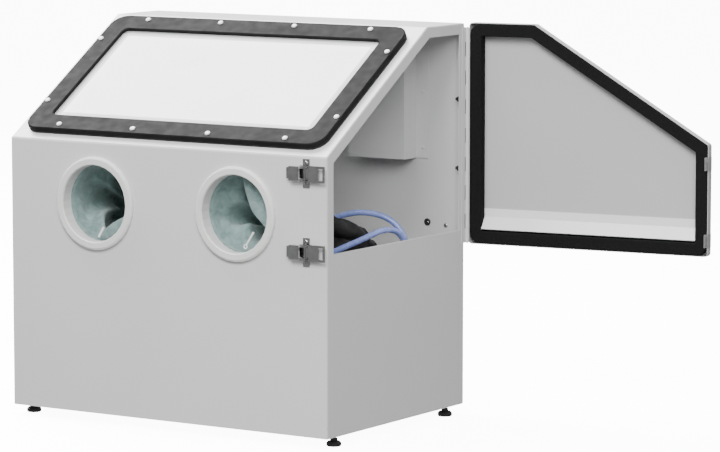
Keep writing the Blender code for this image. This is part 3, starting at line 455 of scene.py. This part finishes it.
def make_finishes():
    recipes = {
        "casing_paint": powder_coat("casing_paint", 0.62),
        # The door's coat is the casing's paint made darker: painted shade on the open door.
        "door_paint": powder_coat("door_paint", 0.46),
        # The deflector strip's coat is lighter than the door's: a painted highlight where its tilted face
        # meets the overhead light.
        "deflector_coat_painted_highlight": powder_coat("deflector_coat_painted_highlight", 0.80),
        "frame_plastic": moulded_plastic("frame_plastic", grey(0.010), grey(0.014), 0.62),
        "port_plastic": moulded_plastic("port_plastic", grey(0.66, 0.012), grey(0.71, 0.012), 0.38),
        "screw_plastic": moulded_plastic("screw_plastic", grey(0.88), grey(0.92), 0.30),
        "lamp_plastic": moulded_plastic("lamp_plastic", grey(0.74, 0.01), grey(0.80, 0.01), 0.35),
        "ceramic": moulded_plastic("ceramic", (0.70, 0.67, 0.60), (0.78, 0.76, 0.70), 0.45),
        "black_rubber": soft_black("black_rubber", grey(0.010), grey(0.022), 0.62, 300, 0.00015),
        "foot_rubber": soft_black("foot_rubber", grey(0.006), grey(0.014), 0.34, 200, 0.00010),
        "glove_rubber": soft_black("glove_rubber", grey(0.007), grey(0.026), 0.58, 120, 0.00060),
        "foam": foam(),
        "suede": suede(),
        "binding": moulded_plastic("binding", grey(0.74), grey(0.86), 0.75),
        "chrome": bright_metal("chrome", 0.36, 0.08, 0.24),
        # Chrome made dark as painted shade, for the plates in the latches' gaps and the hinge's nuts.
        "chrome_painted_shade": bright_metal("chrome_painted_shade", 0.10, 0.20, 0.40),
        "zinc_steel": bright_metal("zinc_steel", 0.50, 0.28, 0.48, 140),
        "gun_metal": bright_metal("gun_metal", 0.42, 0.42, 0.58, 260),
        "brass": brass(),
        "hose_plastic": hose_plastic(),
        "whitish_pane": whitish_pane(),
        "studio_floor": moulded_plastic("studio_floor", grey(0.90), grey(0.91), 0.80),
    }
    recipes["frame_plastic"].set(Specular_IOR_Level=0.05)
    recipes["foam"].set(Specular_IOR_Level=0.10)
    recipes["studio_floor"].set(Emission_Color=(1, 1, 1, 1), Emission_Strength=FLOOR_GLOW)
    return {name: made.material for name, made in recipes.items()}


def finish_named(name):
    return FINISHES[name]


CAD_FINISHES = {
    "casing_paint": [
        "front_panel", "slope_panel", "roof_panel", "rear_panel", "left_side_panel",
        "right_side_panel", "floor_pan", "exhaust_baffle", "grate_frame", "hopper",
        "hinge_leaf_cabinet", "hinge_leaf_door",
    ],
    # The door's coat carries painted shade, and its deflector's coat a painted highlight.
    "door_paint": ["door_panel"],
    "deflector_coat_painted_highlight": ["door_deflector"],
    "black_rubber": ["window_gasket", "cable_grommet"],
    "frame_plastic": ["window_frame"],
    "whitish_pane": ["window_pane"],
    "screw_plastic": [f"window_screw_{i:02d}" for i in range(1, 13)],
    "port_plastic": ["left_port_ring", "right_port_ring"],
    "chrome": [f"{w}_latch_{part}" for w in LATCHES for part in ("base", "lever", "loop")],
    "zinc_steel": [
        "left_glove_clamp", "right_glove_clamp", "exhaust_outlet", "pickup_tube", "hinge_pin",
        "upper_strike", "lower_strike", "work_grate",
    ],
    "brass": ["air_bulkhead"],
    "lamp_plastic": ["strip_lamp"],
    "gun_metal": ["gun_body", "gun_trigger"],
    "ceramic": ["gun_nozzle"],
    "foot_rubber": [
        "foot_front_left", "foot_front_right", "foot_rear_left", "foot_rear_right",
    ],
}
SOFTENED = {"chrome": 0.0005, "frame_plastic": 0.0008}      # edge rounding, by finish


def dress_frame():
    """Give every CAD node that stays in view its finish, and round the edges that catch light."""
    for finish, names in CAD_FINISHES.items():
        for name in names:
            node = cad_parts[name]
            node.data.materials.clear()
            node.data.materials.append(finish_named(finish))
            if finish in SOFTENED:
                rounding = node.modifiers.new("edges", "BEVEL")
                rounding.width = SOFTENED[finish]
                rounding.segments = 2
                rounding.limit_method = "ANGLE"
                rounding.harden_normals = True


# ---------------------------------------------------------------- hoses
def new_tube(name, points, radius, resolution, finish, shares=None):
    """A round, capped tube that rides on the cabinet; shares scale its radius point by point."""
    curve = bpy.data.curves.new(name, "CURVE")
    curve.dimensions = "3D"
    curve.bevel_depth = radius
    curve.bevel_resolution = resolution
    curve.use_fill_caps = True
    spline = curve.splines.new("POLY")
    spline.points.add(len(points) - 1)
    for point, place, share in zip(spline.points, points, shares or [1.0] * len(points)):
        point.co = (*place, 1)
        point.radius = share
    curve.materials.append(finish_named(finish))
    tube = bpy.data.objects.new(name, curve)
    bpy.context.scene.collection.objects.link(tube)
    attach(tube, "cabinet")
    return tube


def add_hose(name, node, route):
    points = smooth_route(route, 6)
    hose = new_tube(name, points, HOSE_RADIUS, 6, "hose_plastic")
    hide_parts(node)


# ---------------------------------------------------------------- gloves
SLEEVE = [                          # out from the port's middle, y, z, half width, half height
    (0.000, -0.1925, 0.3880, 0.0702, 0.0702),
    (0.001, -0.1780, 0.3870, 0.0695, 0.0690),
    (0.006, -0.1450, 0.3770, 0.0665, 0.0650),
    (0.014, -0.1000, 0.3620, 0.0630, 0.0580),
    (0.022, -0.0550, 0.3475, 0.0590, 0.0500),
    (0.036, 0.0050, 0.3300, 0.0540, 0.0400),
    (0.046, 0.0450, 0.3205, 0.0490, 0.0320),
    (0.052, 0.0680, 0.3150, 0.0440, 0.0265),
]
GLOVE_WALL = 0.0042                 # from the rubber's outside to the lining
SLEEVE_SIDES = 96
SLEEVE_RINGS = 90
SKIN_VOXEL = 0.0026
WRINKLE_DEPTH = 0.0017
CUFF_RADIUS = 0.0738
TAPE_Y = -0.2150
FINGERS = [                         # root and tip from the palm's end (out, y, z), radius
    ((-0.026, 0.056, 0.308), (-0.028, 0.106, 0.2975), 0.0105),
    ((-0.008, 0.060, 0.309), (-0.006, 0.124, 0.2980), 0.0112),
    ((0.010, 0.058, 0.308), (0.014, 0.119, 0.2978), 0.0108),
    ((0.026, 0.050, 0.306), (0.030, 0.100, 0.2975), 0.0098),
    ((-0.034, 0.008, 0.320), (-0.046, 0.050, 0.3020), 0.0118),
]
PALM_OUT = 0.053                    # sideways from the port's middle to the palm's end
LINING_RADIUS = 0.0696              # the lining lies against the inside of the port's tube
LINING_FRONT = -0.2135
LINING_BACK = (0.0688, -0.2010)     # radius and y where it leaves the tube for the sleeve
FLAPS = {                           # loose edge as (x, z) from the port's middle, and the two
    "left": [                       # angles between which the flap meets the tube
        ([(0.003, -0.050), (0.024, -0.037), (0.046, -0.024), (0.066, -0.012)], -95, -8),
    ],
    "right": [
        ([(0.029, -0.058), (0.040, -0.045), (0.052, -0.033), (0.064, -0.022)], -62, -16),
        ([(0.0045, 0.0600), (0.0075, 0.0345), (0.0215, 0.0050), (0.0470, -0.0215)], 84, -20),
    ],
}
FLAP_ROLL = [                       # the flap's section: share of the way to its loose edge, y
    (0.0, -0.2105), (0.35, -0.2145), (0.75, -0.2150), (0.95, -0.2125), (1.0, -0.2085),
    (0.93, -0.2045), (0.75, -0.1990),
]


def sleeve_station(t):
    """Smooth station of the sleeve at a share t of its length."""
    at = t * (len(SLEEVE) - 1)
    k = min(int(at), len(SLEEVE) - 2)
    part = at - k
    around = [SLEEVE[min(max(k + i, 0), len(SLEEVE) - 1)] for i in (-1, 0, 1, 2)]
    values = []
    for a, b, c, d in zip(*around):
        values.append(
            0.5 * (2 * b + (c - a) * part + (2 * a - 5 * b + 4 * c - d) * part ** 2
                   + (3 * b - a - 3 * c + d) * part ** 3)
        )
    return values


def fold_push(angle, t, middle, drift, width, start, rise, end, depth):
    """How far one fold pushes the sleeve in, at an angle and a share of its length."""
    off = (angle - middle - drift * t + math.pi) % (2 * math.pi) - math.pi
    along = ease(start, start + rise, t) * (1 - ease(end, end + 0.6 * rise + 0.02, t))
    return depth * math.exp(-(off / width) ** 2) * along


FOLDS = {                           # middle angle, drift, width, start, rise, end, depth
    "left": [
        (math.radians(258), -3.2, 0.30, 0.00, 0.12, 0.40, 0.034),
        (math.radians(35), -0.8, 0.40, 0.08, 0.20, 0.80, 0.022),
        (math.radians(100), 0.9, 0.30, 0.14, 0.20, 0.85, 0.020),
        (math.radians(140), -0.6, 0.20, 0.10, 0.15, 0.85, 0.012),
        (math.radians(215), 0.4, 0.26, 0.45, 0.20, 0.90, 0.014),
    ],
    "right": [
        (math.radians(138), 0.2, 0.55, 0.00, 0.18, 0.75, 0.036),
        (math.radians(246), -0.6, 0.48, 0.00, 0.18, 0.75, 0.038),
        (math.radians(20), -0.9, 0.42, 0.04, 0.16, 0.70, 0.026),
        (math.radians(80), 0.3, 0.30, 0.45, 0.20, 0.90, 0.014),
        (math.radians(330), 0.3, 0.26, 0.40, 0.20, 0.90, 0.012),
    ],
}


def sleeve_ring(name, t, wall):
    side = -1 if name == "left" else 1
    out, y, z, half_w, half_h = sleeve_station(t)
    middle = Vector((side * (PORT_X + out), y, z))
    points = []
    for k in range(SLEEVE_SIDES):
        angle = 2 * math.pi * k / SLEEVE_SIDES
        push = sum(fold_push(angle, t, *fold) for fold in FOLDS[name])
        # uneven dents that start behind the port, and a ripple along the arm
        spot = Vector((2.2 * math.cos(angle), 2.2 * math.sin(angle), 9 * t + side))
        push += 0.0030 * noise.noise(spot) * ease(0.04, 0.20, t)
        push += 0.0022 * math.sin(34 * t + 2.5 * math.sin(angle)) * ease(0.30, 0.55, t)
        reach_x = half_w - wall - push
        reach_z = half_h - wall - push
        points.append(middle + Vector((reach_x * math.cos(angle), 0, reach_z * math.sin(angle))))
    return points


def finger_mesh(side, root, tip, radius):
    """A finger with a round end that bends a little down to the grate."""
    base = Vector((side * (PORT_X + PALM_OUT + root[0]), root[1], root[2]))
    end = Vector((side * (PORT_X + PALM_OUT + tip[0]), tip[1], tip[2]))
    along = (end - base).normalized()
    across = along.cross(Vector((0, 0, 1))).normalized()
    up = across.cross(along)
    steps = 14
    sides = 20
    round_from = 0.82                  # share of the length where the tip starts to round off
    loops = []
    for i in range(steps + 1):
        t = i / steps
        arch = Vector((0, 0, 0.006 * math.sin(math.pi * t)))
        past = max((t - round_from) / (1 - round_from), 0)
        round_end = math.sqrt(max(1 - past ** 2, 0.02))
        knuckle = 1 + 0.07 * math.sin(5 * math.pi * t)
        size = radius * round_end * knuckle
        centre = base.lerp(end, t) + arch
        ring = []
        for k in range(sides):
            angle = 2 * math.pi * k / sides
            ring.append(centre + across * size * math.cos(angle) + up * size * math.sin(angle))
        loops.append(ring)
    return loft_mesh(loops)


def add_glove(name):
    """Black rubber outside with fingers, and a suede lining that shows through the port."""
    side = -1 if name == "left" else 1
    outer = [sleeve_ring(name, i / SLEEVE_RINGS, 0) for i in range(SLEEVE_RINGS + 1)]
    hand = merged([loft_mesh(outer)] + [finger_mesh(side, *finger) for finger in FINGERS])
    skin = new_piece(f"{name}_glove_skin", hand, "glove_rubber", smooth_deg=80)
    fuse(skin, SKIN_VOXEL)
    trim_front(skin, SLEEVE[0][1] + 0.003)
    wrinkle(skin, WRINKLE_DEPTH)
    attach(skin, "cabinet")
    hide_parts(f"{name}_glove")
    inner = [port_circle(side, LINING_RADIUS, LINING_FRONT), port_circle(side, *LINING_BACK)]
    inner += [sleeve_ring(name, i / SLEEVE_RINGS, GLOVE_WALL) for i in range(SLEEVE_RINGS + 1)]
    lining = loft_mesh(inner, capped=False)
    rims = [e for e in lining.edges if e.is_boundary]
    bmesh.ops.holes_fill(lining, edges=[e for e in rims if all(v.co.y > 0 for v in e.verts)])
    piece = new_piece(f"{name}_glove_lining", lining, "suede", "cabinet", 80)
    bulk = piece.modifiers.new("wall", "SOLIDIFY")
    bulk.thickness = 0.0010
    bulk.offset = 0
    add_cuff(name, side)
    add_binding(name, side)
    for number, flap in enumerate(FLAPS[name]):
        add_flap(f"{name}_lining_flap_{number}", side, *flap)


def port_circle(side, radius, y):
    points = []
    for k in range(SLEEVE_SIDES):
        angle = 2 * math.pi * k / SLEEVE_SIDES
        points.append((side * PORT_X + radius * math.cos(angle), y, PORT_Z + radius * math.sin(angle)))
    return points


def add_flap(name, side, edge_points, low_angle, high_angle):
    """The lining's loose edge, which has slipped up inside the port's tube and rolled over."""
    middle = Vector((side * PORT_X, 0, PORT_Z))
    loose = smooth_route([(x, 0, z) for x, z in edge_points], 8)
    bm = bmesh.new()
    rows = []
    for i, spot in enumerate(loose):
        s = i / (len(loose) - 1)
        angle = math.radians(low_angle + (high_angle - low_angle) * s)
        wall = Vector((math.cos(angle), 0, math.sin(angle))) * (LINING_RADIUS - 0.001)
        edge = spot + Vector((0, 0, 0.0018 * math.sin(7 * s + side)))
        inward = edge - wall
        row = []
        for share, y in FLAP_ROLL:
            point = middle + wall + inward * share + Vector((0, y, 0))
            point.y += 0.0012 * math.sin(9 * s + 4 * share)
            row.append(bm.verts.new(point))
        rows.append(row)
    for low, high in zip(rows, rows[1:]):
        for j in range(len(low) - 1):
            bm.faces.new((low[j], low[j + 1], high[j + 1], high[j]))
    flap = new_piece(name, bm, "suede", "cabinet", 80)
    bulk = flap.modifiers.new("wall", "SOLIDIFY")
    bulk.thickness = 0.0012
    bulk.offset = 0
    rounding = flap.modifiers.new("round", "SUBSURF")
    rounding.levels = 2
    rounding.render_levels = 2


def fuse(piece, voxel):
    """Join a piece's overlapping bodies into one skin."""
    remesh = piece.modifiers.new("fuse", "REMESH")
    remesh.mode = "VOXEL"
    remesh.voxel_size = voxel
    soften = piece.modifiers.new("soften", "SMOOTH")
    soften.iterations = 4
    bake_modifiers(piece)


def bake_modifiers(piece):
    bpy.context.view_layer.update()
    shown = piece.evaluated_get(bpy.context.evaluated_depsgraph_get())
    made = bpy.data.meshes.new_from_object(shown)
    piece.modifiers.clear()
    old = piece.data
    piece.data = made
    bpy.data.meshes.remove(old)


def trim_front(piece, front):
    """Open the skin's front end, where the port ring goes in."""
    bm = bmesh.new()
    bm.from_mesh(piece.data)
    geometry = bm.verts[:] + bm.edges[:] + bm.faces[:]
    bmesh.ops.bisect_plane(bm, geom=geometry, plane_co=(0, front, 0), plane_no=(0, -1, 0),
                           clear_outer=True)
    bm.to_mesh(piece.data)
    bm.free()
    piece.data.shade_smooth()


def wrinkle(piece, depth):
    """Push the skin in and out along its normals in small, uneven wrinkles."""
    mesh = piece.data
    normals = [n.vector.copy() for n in mesh.vertex_normals]
    places = [v.co.copy() for v in mesh.vertices]
    moved = []
    for place, normal in zip(places, normals):
        spot = place * 62
        spot.y *= 0.55
        moved += list(place + normal * (depth * noise.noise(spot)))
    mesh.vertices.foreach_set("co", moved)
    mesh.update()


def add_cuff(name, side):
    """The cuff is turned back over the port's tube, under its clamp."""
    radius = CUFF_RADIUS
    y_front = FRONT + 0.0100
    y_back = SLEEVE[0][1]
    profile = [
        (radius - 0.0010, y_back), (radius + 0.0018, y_back), (radius + 0.0018, y_front + 0.001),
        (radius + 0.0008, y_front), (radius - 0.0006, y_front), (radius - 0.0010, y_front + 0.001),
    ]
    loops = []
    for r, y in profile:
        ring = []
        for k in range(64):
            angle = 2 * math.pi * k / 64
            ring.append((side * PORT_X + r * math.cos(angle), y, PORT_Z + r * math.sin(angle)))
        loops.append(ring)
    cuff = new_piece(f"{name}_glove_cuff", loft_mesh(loops, closed=True), "glove_rubber", "cabinet", 50)


def add_binding(name, side):
    """White tape in the port: the left lining's bound edge, and the right one's hanging loop."""
    middle = Vector((side * PORT_X, TAPE_Y, PORT_Z))
    if name == "left":
        route = [(0.0062, -0.0455), (0.0008, -0.0535), (-0.0052, -0.0630)]
        radius = 0.0022
    else:
        route = [(0.0272, -0.0325), (0.0200, -0.0435), (0.0128, -0.0545)]
        radius = 0.0019
        for k in range(13):
            angle = math.radians(60 + 30 * k)
            route.append((0.0098 + 0.0032 * math.cos(angle), -0.0592 + 0.0036 * math.sin(angle)))
    points = smooth_route([middle + Vector((x, 0, z)) for x, z in route], 4)
    loop_from = 9 if name == "right" else len(points)      # the loop is thinner than its tape
    shares = [1.0 if i < loop_from else 0.55 for i in range(len(points))]
    tape = new_tube(f"{name}_glove_tape", points, radius, 4, "binding", shares)


# ---------------------------------------------------------------- hinge
def add_hinge_shade_strip():
    """Black strip on the rear panel behind the hinge's knuckles: painted shade that makes the gaps
    between them dark.
    """
    low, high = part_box("hinge_leaf_cabinet")
    left = HALF_W - 0.0060
    seat = REAR + 0.0003
    shoulder = REAR + 0.0052
    chamfer = 0.0006
    outline = [
        (left, seat), (HALF_W, seat), (HALF_W, shoulder), (HALF_W - chamfer, shoulder + chamfer),
        (left + chamfer, shoulder + chamfer), (left, shoulder),
    ]
    shade_strip = new_piece("hinge_shade_strip", prism_mesh(outline, low.z, high.z), "black_rubber", "cabinet")


# ---------------------------------------------------------------- door foam
def add_door_foam():
    """Foam strip round the door's inner rim, made from the CAD ring with its edges softened."""
    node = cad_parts["door_gasket"]
    mesh = node.data.copy()
    mesh.materials.clear()
    mesh.materials.append(finish_named("foam"))
    piece = bpy.data.objects.new("door_foam", mesh)
    bpy.context.scene.collection.objects.link(piece)
    rounding = piece.modifiers.new("edges", "BEVEL")
    rounding.width = 0.0014
    rounding.segments = 3
    rounding.limit_method = "ANGLE"
    bake_modifiers(piece)
    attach(piece, "door")
    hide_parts("door_gasket")


# ---------------------------------------------------------------- screws, nuts and pins
def dome(radius, height, steps=5):
    """Profile of a domed head that stands on local Z = 0."""
    profile = [(0, 0), (radius, 0), (radius, height * 0.25)]
    for i in range(1, steps):
        angle = math.pi / 2 * i / steps
        profile.append((radius * math.cos(angle), height * (0.25 + 0.75 * math.sin(angle))))
    return profile + [(0, height)]


def add_screw(name, place, direction, radius, height, finish, body="cabinet"):
    """A domed screw with a cross recess."""
    placed = facing(direction, place)
    screw = new_piece(name, revolve_mesh(dome(radius, height), placed), finish, smooth_deg=40)
    cutters = []
    arm = radius * 0.62
    half = radius * 0.11
    depth = height * 0.45
    for long_x, long_y in ((arm, half), (half, arm)):
        corners = [(-long_x, -long_y), (long_x, -long_y), (long_x, long_y), (-long_x, long_y)]
        loops = [[placed @ Vector((x, y, h)) for x, y in corners] for h in (height - depth, height * 1.5)]
        cutters.append(loft_mesh(loops))
    for number, cutter in enumerate(cutters):
        carve(screw, cutter, f"{name}_recess_{number}")
    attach(screw, body)
    return screw


def carve(piece, cutter_mesh, name):
    cutter = new_piece(name, cutter_mesh, "zinc_steel")
    cut = piece.modifiers.new("cut", "BOOLEAN")
    cut.operation = "DIFFERENCE"
    cut.solver = "EXACT"
    cut.object = cutter
    bake_modifiers(piece)
    bpy.data.objects.remove(cutter)


def add_nut(name, place, direction, radius, height, finish, body="cabinet"):
    """Hexagon nut with chamfered corners, and the end of its bolt."""
    placed = facing(direction, place)
    nut = revolve_mesh(
        [(0, 0), (radius, 0), (radius, height * 0.85), (radius * 0.88, height), (0, height)], placed, 6)
    stub_radius = radius * 0.52
    stub = [(0, height * 0.9)]
    turns = 6
    pitch = 0.0007
    for i in range(turns):
        low = height + i * pitch
        stub += [(stub_radius * 0.86, low), (stub_radius, low + pitch / 2)]
    stub.append((0, height + turns * pitch))
    bolt = revolve_mesh(stub, placed, 16)
    return new_piece(name, merged([nut, bolt]), finish, body, 30)


def add_wall_fixings():
    """Screws in the baffle's flanges, one beside the grommet, and the nuts of the hinge's bolts."""
    flange_y = INNER_REAR - SHEET - 0.0003
    inward = (0, -1, 0)
    baffle_low, baffle_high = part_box("exhaust_baffle")
    margin = 0.012
    columns = (baffle_low.x + margin, baffle_high.x - margin)
    rows = (baffle_low.z + 0.020, (baffle_low.z + baffle_high.z) / 2)
    for column, x in enumerate(columns):
        for row, z in enumerate(rows):
            add_screw(f"baffle_screw_{column}{row}", (x, flange_y, z), inward, 0.0034, 0.0019,
                      "casing_paint")
    add_screw("wall_screw", (0.311, INNER_REAR, 0.332), inward, 0.0042, 0.0024, "zinc_steel")
    # The hinge's nuts are chrome made dark as painted shade.
    for number, z in enumerate((0.442, 0.570)):
        add_nut(f"hinge_nut_{number}", (HALF_W - SHEET, 0.2185, z), (-1, 0, 0), 0.0058, 0.0052,
                "chrome_painted_shade")


def add_latch_fixings():
    """Two screws, a dark plate under the lever as painted shade, and the lever's rivet, for each latch.
    """
    out = (0, -1, 0)
    reach = 0.0182                     # from the latch's centre to each screw
    for name, height in LATCHES.items():
        for end, offset in (("low", -reach), ("high", reach)):
            place = (LATCH_X + 0.001, FRONT - SHEET, height + offset)
            add_screw(f"{name}_latch_screw_{end}", place, out, 0.0041, 0.0024, "chrome")
        # A dark plate in the gap between lever and base: painted shade.
        left = LATCH_X - 0.0130
        right = LATCH_X - 0.0063
        low = height - 0.0088
        high = height + 0.0088
        plan = [(left, low), (right, low), (right, high), (left, high)]
        loops = [[(x, FRONT - off, z) for x, z in plan] for off in (0.0003, 0.0015)]
        shade_plate = new_piece(f"{name}_latch_shade_plate", loft_mesh(loops), "chrome_painted_shade", "cabinet")
        pin = [(0, -0.0136), (0.0026, -0.0136), (0.0026, -0.0126), (0.0016, -0.0126),
               (0.0016, 0.0126), (0.0026, 0.0126), (0.0026, 0.0136), (0, 0.0136)]
        placed = Matrix.Translation((LEVER_PIVOT.x, LEVER_PIVOT.y, height))
        rivet = new_piece(f"{name}_lever_rivet", revolve_mesh(pin, placed, 20), "chrome",
                          f"{name}_lever", 40)


# ---------------------------------------------------------------- build
FINISHES = make_finishes()
add_camera()
add_light()
add_floor()
dress_frame()
add_hose("blue_suction_hose", "suction_hose", SUCTION_ROUTE)
add_hose("blue_air_hose", "air_hose", AIR_ROUTE)
for glove in ("left", "right"):
    add_glove(glove)
add_door_foam()
add_hinge_shade_strip()
add_wall_fixings()
add_latch_fixings()
